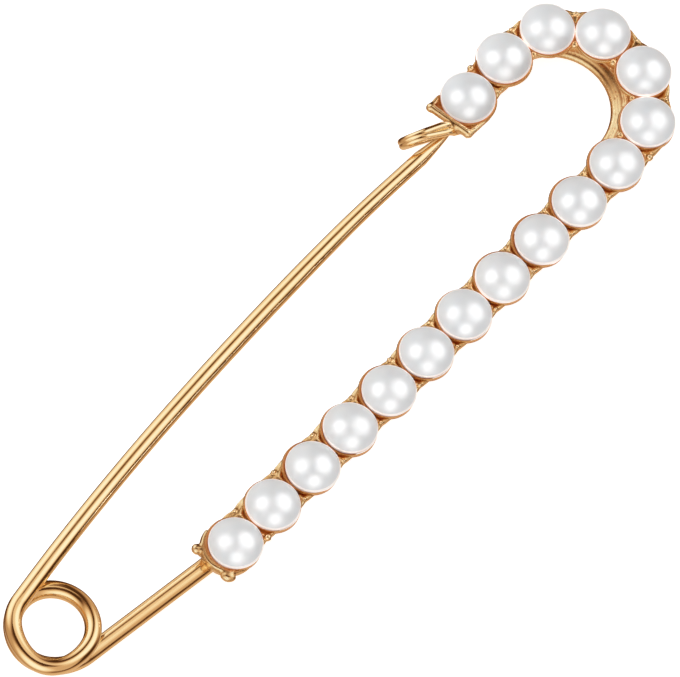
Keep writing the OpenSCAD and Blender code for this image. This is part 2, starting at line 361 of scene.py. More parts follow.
def drawn_gold():
    """Spring wire with a gold plating: fine lines along it from drawing."""
    made, tree, shader = new_material("drawn gold wire", 1.0, 0.14)
    along = node(tree, "ShaderNodeAttribute", attribute_name="wire_along")
    around = node(tree, "ShaderNodeAttribute", attribute_name="wire_round")
    split = node(tree, "ShaderNodeSeparateXYZ", Vector=around.outputs["Vector"])
    stretched = node(tree, "ShaderNodeCombineXYZ", Y=split.outputs["X"], Z=split.outputs["Y"],
                     X=math_node(tree, "MULTIPLY", along.outputs["Fac"], LINES_ALONG))
    lines = node(tree, "ShaderNodeTexNoise", Vector=stretched.outputs[0], Scale=LINES_ROUND,
                 Detail=3.0, Roughness=0.6)
    grain = grain_on(tree, 5000.0, 260.0)
    tone = spread(tree, grain.outputs["Waves"], *MIDDLE)
    colour = blended(tree, tone, GOLD, DULLER_GOLD)
    tree.links.new(colour, shader.inputs["Base Color"])
    rough = math_node(tree, "MULTIPLY_ADD", lines.outputs["Fac"], LINE_ROUGH, WIRE_ROUGH)
    pits = spread(tree, grain.outputs["Pits"], *MIDDLE, -0.01, 0.03)
    rough = math_node(tree, "ADD", rough, pits)
    tree.links.new(rough, shader.inputs["Roughness"])
    bumped(tree, shader, lines.outputs["Fac"], 0.000012, 0.3)
    return made


def pearl_nacre():
    """White pearl with a soft lustre, a little different from pearl to pearl, with a painted
    reflection of the gold that glows cream-pink round its foot and its grazing edge.
    """
    made, tree, shader = new_material("white nacre", 0.0, 0.4)
    place = node(tree, "ShaderNodeTexCoord")
    grain = grain_on(tree, 5000.0, 520.0)
    own = node(tree, "ShaderNodeAttribute", attribute_name="pearl_tone")
    cloud = spread(tree, grain.outputs["Waves"], *MIDDLE)
    colour = blended(tree, cloud, NACRE_SHADE, NACRE_LIGHT)
    colour = blended(tree, own.outputs["Fac"], colour, NACRE_OWN)
    height = node(tree, "ShaderNodeSeparateXYZ", Vector=place.outputs["Object"])
    # Painted reflection: near the girdle and at grazing angles the nacre is tinted cream-pink and
    # glows a little, as if it mirrored the gold.
    girdle = (SETTING_H + 0.02) * MM
    low_edge = spread(tree, height.outputs["Z"], girdle + 0.2 * MM, girdle + 0.06 * MM)
    grazing = node(tree, "ShaderNodeLayerWeight", Blend=0.5)
    far_edge = spread(tree, grazing.outputs["Facing"], 0.7, 0.9)
    edge = math_node(tree, "MAXIMUM", low_edge, far_edge)
    colour = blended(tree, edge, colour, PAINTED_GOLD_REFLECTION_ON_NACRE)
    tree.links.new(colour, shader.inputs["Base Color"])
    tree.links.new(colour, shader.inputs["Emission Color"])
    painted_edge_glow = math_node(tree, "MULTIPLY", edge, PAINTED_EDGE_GLOW)
    tree.links.new(painted_edge_glow, shader.inputs["Emission Strength"])
    rough = spread(tree, grain.outputs["Waves"], *MIDDLE, 0.36, 0.44)
    tree.links.new(rough, shader.inputs["Roughness"])
    set_inputs(shader, ("Specular IOR Level", 0.5), ("Coat Weight", 0.15), ("Coat IOR", 1.5),
               ("Coat Roughness", 0.3), ("Subsurface Weight", 0.15), ("Subsurface Scale", 1.0),
               ("Subsurface Radius", (0.0008, 0.0006, 0.0005)))
    bumped(tree, shader, grain.outputs["Waves"], 0.00001, 0.2)
    return made


CAST_GOLD = cast_gold()
DRAWN_GOLD = drawn_gold()
NACRE = pearl_nacre()


# Making meshes

def made_mesh(name, points, faces, material=None):
    """A smooth mesh object from points in metres."""
    mesh = bpy.data.meshes.new(name)
    mesh.from_pydata(np.asarray(points, float).tolist(), [], [tuple(f) for f in faces])
    mesh.shade_smooth()
    if material:
        mesh.materials.append(material)
    return in_scene(name, mesh)


def keep_values(made, name, values):
    """A number kept at each of the mesh's points."""
    kept = made.data.attributes.new(name, "FLOAT", "POINT")
    kept.data.foreach_set("value", values)


def grown(carrier, tree, name, **values):
    """The plain mesh that the tree makes on the carrier, which goes."""
    modifier = carrier.modifiers.new(tree.name, "NODES")
    modifier.node_group = tree
    for item in tree.interface.items_tree:
        key = item.name.replace(" ", "_")
        if key in values:
            modifier[item.identifier] = values[key]
    bpy.context.view_layer.update()
    depsgraph = bpy.context.evaluated_depsgraph_get()
    mesh = bpy.data.meshes.new_from_object(carrier.evaluated_get(depsgraph))
    bpy.data.objects.remove(carrier)
    mesh.name = name
    return in_scene(name, mesh)


def drawn_wire_tree():
    """A round wire along a curve. Its surface keeps its distance along the wire and its
    direction round it, for the lines that drawing leaves."""
    tree, given, out = new_tree(
        "Geometry", "drawn wire",
        [("Geometry", "Geometry"), ("Wire radius", "Float"), ("Sides", "Int"),
         ("Finish", "Material")], [("Geometry", "Geometry")])
    length = node(tree, "GeometryNodeSplineParameter")
    line = node(tree, "GeometryNodeStoreNamedAttribute", Name="wire_along",
                Geometry=given.outputs["Geometry"], Value=length.outputs["Length"])
    ring = node(tree, "GeometryNodeCurvePrimitiveCircle", Resolution=given.outputs["Sides"],
                Radius=given.outputs["Wire radius"])
    place = node(tree, "GeometryNodeInputPosition")
    unit = node(tree, "ShaderNodeVectorMath", operation="NORMALIZE", Vector=place.outputs[0])
    turned = node(tree, "GeometryNodeStoreNamedAttribute", data_type="FLOAT_VECTOR",
                  Name="wire_round", Geometry=ring.outputs["Curve"], Value=unit.outputs[0])
    own = node(tree, "GeometryNodeInputRadius")
    swept = node(tree, "GeometryNodeCurveToMesh", Fill_Caps=True, Scale=own.outputs[0],
                 Curve=line.outputs["Geometry"], Profile_Curve=turned.outputs["Geometry"])
    smooth = node(tree, "GeometryNodeSetShadeSmooth", Geometry=swept.outputs["Mesh"])
    finish = node(tree, "GeometryNodeSetMaterial", Geometry=smooth.outputs["Geometry"],
                  Material=given.outputs["Finish"])
    whole = node(tree, "GeometryNodeRealizeInstances", Geometry=finish.outputs["Geometry"])
    tree.links.new(whole.outputs["Geometry"], out.inputs["Geometry"])
    return tree


WIRE_TREE = drawn_wire_tree()
WIRE_SIDES = 32
SHARP_ANGLE = 50


def wire(name, points, radii, radius, material):
    """A wire through points of the row's frame, with its own radius at each."""
    line = bpy.data.curves.new(name + " line", "CURVE")
    line.dimensions = "3D"
    spline = line.splines.new("POLY")
    spline.points.add(len(points) - 1)
    for point, place, own in zip(spline.points, points, radii):
        point.co = (*placed(*place), 1.0)
        point.radius = own / radius
    made = grown(in_scene(name + " line", line), WIRE_TREE, name, Wire_radius=radius * MM,
                 Sides=WIRE_SIDES, Finish=material)
    made.data.set_sharp_from_angle(angle=math.radians(SHARP_ANGLE))
    return made


# Spring wire: needle, coil and arm

# The needle keeps its whole front turn, and the wire is parted where that turn's start
# hides it.
PARTING = 448.0


# How much slimmer the wire is on the coil and towards the point, and its ground point
COIL_SLIM, SLIM_TURNS = 0.045, 0.9
SHAFT_SLIM, SLIM_RUN = 0.085, 16.0
TIP_R, TIP_PAST, TIP_POWER = 0.06, 0.4, 0.75


def needle_wire():
    shaft = NEEDLE_RUN - POINT_RUN
    angles = np.linspace(PARTING, COIL_START, 128)[:-1]
    points = [on_coil(a) for a in angles]
    radii = [WIRE_R - swing_out((a - COIL_START) / 360, 0.0, SLIM_TURNS, COIL_SLIM)
             for a in angles]
    for s in np.linspace(0, shaft, 90):
        points.append(on_needle(s))
        radii.append(WIRE_R - SHAFT_SLIM * eased_step(s, shaft - SLIM_RUN, shaft))
    last_r = radii[-1]
    for t in np.linspace(0.05, 1, 18):
        points.append(on_needle(shaft + (POINT_RUN + TIP_PAST) * t))
        radii.append(TIP_R + (last_r - TIP_R) * (1 - t) ** TIP_POWER)
    made = wire("needle_wire", points, radii, WIRE_R, DRAWN_GOLD)
    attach(made, "needle")
    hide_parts("pin_needle")


def arm_wire():
    points = [on_coil(a) for a in np.linspace(PARTING, COIL_END, 62)[:-1]]
    points += [on_arm(s) for s in np.linspace(0, ARM_RUN, 24)]
    made = wire("arm_wire", points, [WIRE_R] * len(points), WIRE_R, DRAWN_GOLD)
    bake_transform(made)
    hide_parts("spring_arm")


needle_wire()
arm_wire()


# Catch wire, soldered to the end cap

def at_last_pearl(x, y, z):
    px, py, heading = on_row(LAST_PEARL)
    return (px + x * cos(heading) - y * sin(heading),
            py + x * sin(heading) + y * cos(heading), z)


STRAND_R = 0.305
STRAND_APART = 0.26
STRAND_OUT = 0.19
ROOT_DROP, ROOT_RUN = 0.35, 0.6
NOSE_PINCH, PINCH_FROM, PINCH_RUN = 0.42, 0.9, 1.6


def catch_line(beside):
    """Centre line of one strand of the doubled wire: a front limb, the bend and the
    return limb. beside is how far the strand lies to the side of the hook's middle; the
    strands close up towards the bend."""
    root_x, root_y, root_z = CATCH_ROOT
    bend_r = CATCH_BEND_R + STRAND_OUT
    bend_z = POINT_Z + CATCH_BEND_R * cos(CATCH_LEAN) + STRAND_OUT
    rise = (bend_z - root_z) / CATCH_RUN
    line = []
    for x in np.linspace(-0.4, CATCH_RUN, 22):
        drop = ROOT_DROP * min(1.0, max(0.0, 1 - x / ROOT_RUN)) ** 2
        line.append((x, 0.0, root_z + rise * x - drop))
    for a in np.linspace(0, 180, 25)[1:]:
        fall = bend_r * (1 - cos(a))
        line.append((CATCH_RUN + bend_r * sin(a), -fall * sin(CATCH_LEAN),
                     bend_z - fall * cos(CATCH_LEAN)))
    end = line[-1]
    line += [(end[0] - x, end[1], end[2]) for x in np.linspace(0, CATCH_RETURN, 6)[1:]]
    points = []
    for x, y, z in line:
        pinch = NOSE_PINCH * min(1.0, max(0.0, (x - PINCH_FROM) / PINCH_RUN))
        aside = beside * (1 - pinch)
        y, z = y + aside * cos(CATCH_LEAN), z - aside * sin(CATCH_LEAN)
        points.append((root_x + x * cos(CATCH_TURN) - y * sin(CATCH_TURN),
                       root_y + x * sin(CATCH_TURN) + y * cos(CATCH_TURN), z))
    return points


def catch_points():
    """Both strands, joined by a tight turn at the return limb's tip."""
    there = catch_line(STRAND_APART)
    back = catch_line(-STRAND_APART)
    end, middle = np.array(there[-1]), (np.array(there[-1]) + back[-1]) / 2
    way = end - there[-2]
    way = way / np.linalg.norm(way) * STRAND_APART
    tip = [tuple(middle + (end - middle) * cos(a) + way * sin(a))
           for a in np.linspace(0, 180, 9)[1:-1]]
    return there + tip + back[::-1]


def catch_wire():
    points = [at_last_pearl(*p) for p in catch_points()]
    made = wire("catch_wire", points, [STRAND_R] * len(points), STRAND_R, DRAWN_GOLD)
    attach(made, "brooch")


catch_wire()


# Cast setting. Its metal is a field of distances in a block of small cubes, so that
# its parts run into each other with soft fillets, and then the field gets its skin.
# A factor a little below 1 turns the level distance of a slanting wall into the true one.

CUBE = 0.107
BLOCK_LOW = (-3.6, -2.7, -0.35)
BLOCK_HIGH = (53.2, 14.4, 3.4)
AXES = [np.arange(low, high, CUBE) for low, high in zip(BLOCK_LOW, BLOCK_HIGH)]
metal = np.full([len(a) for a in AXES], 9.0, np.float32)


def soft_min(a, b, width):
    share = np.clip(0.5 + 0.5 * (b - a) / width, 0.0, 1.0)
    return b + (a - b) * share - width * share * (1.0 - share)


def soft_max(a, b, width):
    return -soft_min(-a, -b, width)


def in_block(low, high):
    """The cubes between two corners: (cut, x, y, z)."""
    cut = tuple(slice(*np.searchsorted(axis, (a, b))) for axis, a, b in zip(AXES, low, high))
    return cut, *np.ix_(*(axis[part] for axis, part in zip(AXES, cut)))


def add_metal(shape, low, high, fillet):
    cut, x, y, z = in_block(low, high)
    metal[cut] = soft_min(metal[cut], shape(x, y, z), fillet)


def cut_metal(shape, low, high, round_off):
    cut, x, y, z = in_block(low, high)
    metal[cut] = soft_max(metal[cut], -shape(x, y, z), round_off)


def local(x, y, place):
    """x and y in the frame of a place on the row."""
    px, py, heading = place
    dx, dy = x - px, y - py
    return dx * cos(heading) + dy * sin(heading), dy * cos(heading) - dx * sin(heading)


def row_distance(x, y):
    """Distance from the pearls' line, seen from above."""
    straight = np.hypot(x - np.clip(x, 0, STRAIGHT_RUN), y)
    swing = np.degrees(np.arctan2(x - STRAIGHT_RUN, ARCH_R - y)) % 360
    arch = np.abs(np.hypot(x - STRAIGHT_RUN, y - ARCH_R) - ARCH_R)
    arch = np.where(swing <= ARCH_SWEEP, arch, 99.0)
    lx, ly = local(x, y, on_row(STRAIGHT_RUN + ARCH_RUN))
    end = np.hypot(lx - np.clip(lx, 0, LAST_PEARL - STRAIGHT_RUN - ARCH_RUN), ly)
    return reduce(np.minimum, (straight, arch, end))


def rounded(gaps, radius):
    """A box of rounded edges, from the distances past its faces."""
    past = [g + radius for g in gaps]
    outside = np.sqrt(sum(np.maximum(p, 0) ** 2 for p in past))
    return outside + np.minimum(reduce(np.maximum, past), 0) - radius


def off_point(x, y, z, middle):
    """Distance from a point."""
    return np.sqrt((x - middle[0]) ** 2 + (y - middle[1]) ** 2 + (z - middle[2]) ** 2)


def rod(x, y, z, a, b, r_a, r_b):
    """A round-ended rod from a to b."""
    a, b = np.array(a), np.array(b)
    d = b - a
    t = ((x - a[0]) * d[0] + (y - a[1]) * d[1] + (z - a[2]) * d[2]) / (d @ d)
    t = np.clip(t, 0, 1)
    return off_point(x - t * d[0], y - t * d[1], z - t * d[2], a) - (r_a + (r_b - r_a) * t)


def cast_backbone():
    """Bar under the whole row, narrower at its back."""
    def bar(x, y, z):
        half_w = np.interp(z, (0, BACK_H), (BACK_FOOT_W, BACK_HALF_W))
        return rounded(((row_distance(x, y) - half_w) * 0.97, z - BACK_H, -z), 0.12)
    add_metal(bar, BLOCK_LOW, BLOCK_HIGH, 0.01)


BOWL_Z = (0.7, 1.2, 1.6, 2.0, 2.3, 2.5)
BOWL_R = (1.0, 1.15, 1.36, 1.6, 1.84, 1.98)
BOWL_TOP, BOWL_ROOM = 2.46, 2.6


def cast_bowls():
    """A cup under each pearl, wider towards its rim."""
    for i in range(PEARLS):
        px, py, heading = on_row(i * PITCH)
        cx, cy = px - RIM_SHIFT * sin(heading), py + RIM_SHIFT * cos(heading)

        def bowl(x, y, z):
            wall = (np.hypot(x - cx, y - cy) - np.interp(z, BOWL_Z, BOWL_R)) * 0.85
            return soft_max(soft_max(wall, z - BOWL_TOP, 0.05), BOWL_Z[0] - z, 0.2)
        add_metal(bowl, (cx - BOWL_ROOM, cy - BOWL_ROOM, 0.3),
                  (cx + BOWL_ROOM, cy + BOWL_ROOM, SETTING_H), 0.16)


# Webs, counted from the coil. They have clear beads inside the arch and at some outer corners
ARCH_FIRST, ARCH_LAST = 10, 14
OUTER_BEADS = (0, 10, 15)
WEB_ROOM, WEB_HALF = 2.9, 2.0
WEB_TOP, WEB_BELOW, WEB_ROOT = 2.2, 1.5, 0.5
RIDGE_H, RIDGE_W = 0.13, 0.2
BEAD_R, BEAD_IN, BEAD_Z = 0.17, 0.24, 2.42


def web_reach(i, side):
    """How far a web reaches from the row's line: on the pin's side, farther near the coil."""
    return 1.5 if side < 0 else 1.65 + 0.5 * max(0.0, 1 - i / ARCH_FIRST)


def off_arms(x, y, heart, tips):
    """Distance from the nearest of the lines from the heart to the tips."""
    found = 9.0
    for tip in tips:
        d = tip - heart
        t = np.clip(((x - heart[0]) * d[0] + (y - heart[1]) * d[1]) / (d @ d), 0, 1)
        found = np.minimum(found, np.hypot(x - heart[0] - t * d[0], y - heart[1] - t * d[1]))
    return found


def cast_webs():
    """Three-armed webs between the cups: hollow beside the pearls, with a ridge along
    each arm and a small bead at the outer edge."""
    chance = np.random.default_rng(5)
    for i in range(PEARLS - 1):
        place = on_row((i + 0.5) * PITCH)
        next_cup = local(*on_row((i + 1) * PITCH)[:2], place)
        for side in (-1, 1):
            reach = web_reach(i, side)
            high = reach - side * next_cup[1]
            corner = max(0.3, next_cup[0] - math.sqrt(max(0.01, RIM_R ** 2 - high ** 2)))
            bead_r = BEAD_R * chance.uniform(0.75, 1.15)
            bead_out = chance.uniform(-0.05, 0.03)
            lift = chance.uniform(-0.04, 0.04)
            if side > 0 and ARCH_FIRST <= i <= ARCH_LAST:
                bead_r, lift = bead_r + 0.12, 0.14
            if side < 0 and i in OUTER_BEADS:
                bead_r, bead_out, lift = bead_r + 0.1, 0.1, 0.1
            heart = np.array((0.0, reach * 0.68))
            tips = [np.array(p) for p in
                    ((0.0, 0.7), (corner, reach - 0.05), (-corner, reach - 0.05))]

            def web(x, y, z):
                lx, ly = local(x, y, place)
                ly = ly * side
                out = np.clip((ly - WEB_ROOT) / (reach - WEB_ROOT), 0, 1)
                ridge = RIDGE_H * np.exp(-(off_arms(lx, ly, heart, tips) / RIDGE_W) ** 2)
                top = WEB_TOP + lift + 0.16 * out + ridge
                edge = ly - reach + 0.1 * np.exp(-(lx / 0.45) ** 2)
                below = WEB_BELOW + 0.42 * out - z
                web_body = soft_max(soft_max(edge, z - top, 0.1), below, 0.15)
                return reduce(np.maximum, (web_body, np.abs(lx) - WEB_HALF, 0.2 - ly))

            def bead(x, y, z):
                lx, ly = local(x, y, place)
                middle = (0.0, reach - BEAD_IN + bead_out, BEAD_Z + lift)
                return off_point(lx, ly * side, z, middle) - bead_r

            low = (place[0] - WEB_ROOM, place[1] - WEB_ROOM, 0.6)
            top = (place[0] + WEB_ROOM, place[1] + WEB_ROOM, 3.0)
            add_metal(web, low, top, 0.08)
            add_metal(bead, low, top, 0.07)


RAIL_X, RAIL_Y = STRAIGHT_RUN - 0.9, ARCH_R + 0.8
RAIL_IN, RAIL_W, RAIL_H = 4.25, 1.5, 1.9
RAIL_FROM, RAIL_TO = -100, 62
RAIL_GROOVES = ((0.34, 0.03), (0.86, 0.05))
RAIL_SLOPE_W = 1.3


def cast_rail():
    """Rounded rail inside the arch. It slopes down inwards, is undercut, and has two
    shallow grooves along it."""
    def rail(x, y, z):
        across = np.hypot(x - RAIL_X, y - RAIL_Y) - RAIL_IN
        angle = np.degrees(np.arctan2(y - RAIL_Y, x - RAIL_X))
        middle = (RAIL_FROM + RAIL_TO) / 2
        ends = (np.abs(angle - middle) - (RAIL_TO - RAIL_FROM) / 2) * math.radians(1) * 5
        slope = np.interp(across, (0, RAIL_SLOPE_W), (RAIL_H - 0.55, RAIL_H + 0.1))
        body = rounded((-across, across - RAIL_W, (z - slope) * 0.88), 0.22)
        body = soft_max(body, np.interp(across, (0, RAIL_SLOPE_W), (0.95, 0.2)) - z, 0.15)
        for place, depth in RAIL_GROOVES:
            groove = np.hypot(across - place, z - slope - 0.12) - 0.12 - depth
            body = soft_max(body, -groove, 0.06)
        return np.maximum(body, ends)
    add_metal(rail, (STRAIGHT_RUN - 3, -0.5, -0.3), (BLOCK_HIGH[0], 13.5, 2.4), 0.18)


# The swelled end's middle, and its radii at some heights
SWELL_X, SWELL_Y = -0.36, 0.22
SWELL_Z = (0.5, 1.0, 1.6, 2.2, 2.75)
SWELL_R = (1.35, 1.75, 2.05, 2.2, 2.08)
# The prongs: way in degrees, reach, size, and how much wider than high
PRONGS = ((211, 2.52, 0.38, 1.55), (139, 2.82, 0.36, 1.1))
PRONG_FOOT, PRONG_FOOT_Z, PRONG_Z = 1.85, 0.9, 2.3


def cast_end():
    """Swelled end beside the coil, with its two prongs."""
    def swell(x, y, z):
        r = np.hypot(x - SWELL_X, y - SWELL_Y)
        side = (r - np.interp(z, SWELL_Z, SWELL_R)) * 0.85
        body = soft_max(soft_max(side, z - 2.68, 0.14), SWELL_Z[0] - z, 0.2)
        return np.maximum(body, x + 0.5)
    add_metal(swell, (-3.2, -2.6, 0.1), (1.2, 3, 3.0), 0.12)
    for way, reach, size, stretch in PRONGS:
        foot = (PRONG_FOOT * cos(way), PRONG_FOOT * sin(way), PRONG_FOOT_Z)
        head = (reach * cos(way), reach * sin(way), PRONG_Z)

        def prong(x, y, z):
            along = (x - head[0]) * cos(way) + (y - head[1]) * sin(way)
            across = (y - head[1]) * cos(way) - (x - head[0]) * sin(way)
            ball = off_point(along, across / stretch, z, (0.0, 0.0, PRONG_Z)) - size
            return soft_min(rod(x, y, z, foot, head, 0.4, size - 0.06), ball, 0.2)
        add_metal(prong, (-3.5, -3, 0), (0.5, 3, 3.2), 0.2)


CAP_REACH, CAP_HALF_W, CAP_SHIFT = 2.52, 1.84, 0.11
CAP_BEAD_R = 0.31


def cast_cap():
    """Straight end beside the catch: a body that draws in towards the back, a lip with
    a bead along its edge, a groove inside it, and a prong at each corner."""
    place = on_row(LAST_PEARL)

    def body(x, y, z):
        lx, ly = local(x, y, place)
        reach = np.interp(z, (0, 2.5), (1.4, CAP_REACH - 0.15))
        return rounded(((lx - reach) * 0.9, np.abs(ly) - 1.3, z - 2.5, -z, -lx), 0.14)

    def lip(x, y, z):
        lx, ly = local(x, y, place)
        ly = ly - CAP_SHIFT
        return rounded((lx - CAP_REACH + 0.1, np.abs(ly) - CAP_HALF_W, z - 2.55, 2.1 - z, -lx),
                       0.1)

    def groove(x, y, z):
        lx, ly = local(x, y, place)
        return np.maximum(np.hypot(lx - CAP_REACH + 0.7, z - 2.7) - 0.24,
                          np.abs(ly - CAP_SHIFT) - 1.6)

    # A corner's place, the place where its flank ends, and its size
    corner_shapes = (((CAP_REACH - 0.16, CAP_SHIFT - CAP_HALF_W + 0.14), (1.2, -1.72), 0.36),
                     ((CAP_REACH - 0.34, CAP_SHIFT + CAP_HALF_W - 0.08), (0.15, 2.14), 0.3))

    def bead(x, y, z):
        lx, ly = local(x, y, place)
        middle = CAP_REACH - 0.26 - 0.05 * ly
        body = np.hypot(lx - middle, (z - 2.6) * 0.85) - CAP_BEAD_R
        return np.maximum(body, np.abs(ly - CAP_SHIFT) - CAP_HALF_W + 0.12)

    def corners(x, y, z):
        found = 9.0
        for corner, end, size in corner_shapes:
            corner, end = at_last_pearl(*corner, 2.58), at_last_pearl(*end, 2.42)
            ball = off_point(x, y, z, corner) - size
            flank = rod(x, y, z, corner, end, 0.27, 0.16)
            found = np.minimum(found, soft_min(ball, flank, 0.1))
        return found

    low = (place[0] - 3.4, place[1] - 3, -0.3)
    high = (place[0] + 1.5, place[1] + 3, 3.4)
    add_metal(body, low, high, 0.15)
    add_metal(lip, low, high, 0.12)
    cut_metal(groove, low, high, 0.05)
    add_metal(bead, low, high, 0.08)
    add_metal(corners, low, high, 0.1)


def cast_solder():
    """Solder where the catch wire leaves the cap."""
    line = catch_line(0.0)
    a, b = at_last_pearl(*line[1]), at_last_pearl(*line[5])

    def solder(x, y, z):
        return rod(x, y, z, a, b, CATCH_R, CATCH_R - 0.2)
    add_metal(solder, (a[0] - 2.5, a[1] - 2, 1.2), (a[0] + 2, a[1] + 2, 3.4), 0.2)


def cut_seats():
    """Room for the pearls, and the bore that holds the arm's end."""
    for i in range(PEARLS):
        px, py, _ = on_row(i * PITCH)

        def seat(x, y, z):
            return np.maximum(np.hypot(x - px, y - py) - SEAT_R, SEAT_Z - 0.06 - z)
        cut_metal(seat, (px - 2.4, py - 2.4, 2.2), (px + 2.4, py + 2.4, 3.4), 0.02)
    tip = np.array(on_arm(ARM_RUN))
    mouth = np.array(on_arm(ARM_RUN - 4))
    way = (mouth - tip) / np.linalg.norm(mouth - tip)

    def bore(x, y, z):
        d = [x - tip[0], y - tip[1], z - tip[2]]
        t = sum(a * b for a, b in zip(d, way))
        off = np.sqrt(np.maximum(sum(a ** 2 for a in d) - t ** 2, 0))
        return np.maximum(off - WIRE_R - 0.02, -t)
    cut_metal(bore, (-3.6, -2, -0.3), (1, 3, 2), 0.04)


def blurred(values, cubes):
    """Mean of the values over a small box round each cube."""
    width = 2 * cubes + 1
    for axis in range(3):
        margins = [(cubes + 1, cubes) if a == axis else (0, 0) for a in range(3)]
        total = np.cumsum(np.pad(values, margins, mode="edge"), axis=axis, dtype=np.float64)
        total = np.moveaxis(total, axis, 0)
        values = (np.moveaxis(total[width:] - total[:-width], 0, axis) / width).astype(np.float32)
    return values


def metal_around():
    """Share of metal and pearl in the cubes round each cube."""
    solid = np.clip(0.5 - metal / CUBE, 0, 1)
    # The pearls count as solid, so that the metal beside them gets painted shade.
    for i in range(PEARLS):
        px, py, _ = on_row(i * PITCH)
        cut, x, y, z = in_block((px - 2.2, py - 2.2, 2.3), (px + 2.2, py + 2.2, 3.4))
        solid[cut] = np.maximum(solid[cut], (np.hypot(x - px, y - py) < PEARL_R) & (z > 2.4))
    for reach in (0.2, 0.15):
        solid = blurred(solid, max(1, round(reach / CUBE)))
    return solid


def stepped_back(cells, axes, step):
    moved = cells.copy()
    moved[:, axes] -= step
    return moved


def skin(field):
    """The surface where the field is zero: corner places in cubes, and four-sided faces."""
    shape = np.array(field.shape) - 1
    total, count = np.zeros((*shape, 3), np.float32), np.zeros(shape, np.float32)
    crossings = []
    for axis in range(3):
        along = np.moveaxis(field, axis, 0)
        a, b = np.moveaxis(along[:-1], 0, axis), np.moveaxis(along[1:], 0, axis)
        found = np.argwhere((a < 0) != (b < 0))
        here = tuple(found.T)
        share = a[here] / (a[here] - b[here])
        place = found.astype(np.float32)
        place[:, axis] += share
        others = [o for o in range(3) if o != axis]
        inner = np.all([(found[:, o] > 0) & (found[:, o] < shape[o]) for o in others], axis=0)
        crossings.append((axis, found[inner], (a[here] < 0)[inner]))
        for step in ((0, 0), (0, 1), (1, 1), (1, 0)):
            cell = stepped_back(found, others, step)
            good = np.all((cell >= 0) & (cell < shape), axis=1)
            np.add.at(total, tuple(cell[good].T), place[good])
            np.add.at(count, tuple(cell[good].T), 1)
    used = count > 0
    number = np.full(shape, -1, np.int64)
    number[used] = np.arange(int(used.sum()))
    corners = total[used] / count[used][:, None]
    faces = []
    for axis, found, inside_first in crossings:
        others = [o for o in range(3) if o != axis]
        quad = np.stack([number[tuple(stepped_back(found, others, step).T)]
                         for step in ((1, 1), (0, 1), (0, 0), (1, 0))], axis=1)
        flip = inside_first if axis != 1 else ~inside_first
        quad[~flip] = quad[~flip][:, ::-1]
        faces.append(quad)
    return corners, np.concatenate(faces)


def without_specks(corners, faces):
    """The skin's main part, without the loose specks that the cubes leave at thin edges."""
    part, before = np.arange(len(corners)), None
    while not np.array_equal(part, before):
        before = part.copy()
        np.minimum.at(part, faces.ravel(), np.repeat(part[faces].min(axis=1), 4))
        part = part[part]
    main = part == np.bincount(part).argmax()
    number = np.cumsum(main) - 1
    return corners[main], number[faces[main[faces[:, 0]]]]


# A step towards the neighbours, and one back that keeps the size
EASE_IN, EASE_OUT = 0.45, -0.47


def eased(corners, faces, rounds):
    """Corners moved a little towards their neighbours, to take the cubes' steps out."""
    pairs = np.concatenate([faces[:, [k, (k + 1) % 4]] for k in range(4)])
    for step in (EASE_IN, EASE_OUT) * rounds:
        total, count = np.zeros_like(corners), np.zeros(len(corners))
        for a, b in ((0, 1), (1, 0)):
            np.add.at(total, pairs[:, a], corners[pairs[:, b]])
            np.add.at(count, pairs[:, a], 1)
        corners = corners + step * (total / count[:, None] - corners)
    return corners


def cast_setting():
    for work in (cast_backbone, cast_bowls, cast_webs, cast_rail, cast_end, cast_cap,
                 cast_solder, cut_seats):
        work()
    corners, faces = without_specks(*skin(metal))
    corners = eased(corners.astype(float), faces, rounds=2)
    around = metal_around()
    cell = np.clip(np.rint(corners).astype(int), 0, np.array(around.shape) - 1)
    points = corners * CUBE + BLOCK_LOW
    points[:, 2] = np.maximum(points[:, 2], 0)
    made = made_mesh("cast_setting", (points - (*MID, 0.0)) * MM, faces, CAST_GOLD)
    # Where this share is high the cast gold gets painted shade; where it is low, a pale edge that
    # is partly painted highlight.
    keep_values(made, "metal_around", around[tuple(cell.T)])
    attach(made, "brooch")
    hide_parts("setting_frame")


cast_setting()


# Rims of the cups and the pearls, set along the row

# How far the middle of a round piece's top stands above the last ring
POLE_RISE = 0.0004


def turned_piece(name, rings, material, closed_ends):
    """A round piece from rings of (radius, height, shift to the pin's side, and how much
    metal is around). It is a ring with a hole, unless its ends are closed."""
    sides, count = 64, len(rings)
    turns = [360 * k / sides for k in range(sides)]
    points = [(radius * cos(a), radius * sin(a) + shift, height)
              for radius, height, shift, _ in rings for a in turns]
    around = [ring[3] for ring in rings for _ in turns]
    pairs = [(k, (k + 1) % sides) for k in range(sides)]
    faces = []
    for i in range(count - 1 if closed_ends else count):
        low, high = i * sides, (i + 1) % count * sides
        faces += [(low + k, low + n, high + n, high + k) for k, n in pairs]
    if closed_ends:
        faces.append(tuple(reversed(range(sides))))
        points.append((0, 0, rings[-1][1] + POLE_RISE))
        around.append(rings[-1][3])
        top = (count - 1) * sides
        faces += [(top + k, top + n, count * sides) for k, n in pairs]
    made = made_mesh(name, np.array(points) * MM, faces, material)
    keep_values(made, "metal_around", around)
    return made


SEED_STEP = 7
TONE_SEED = 3


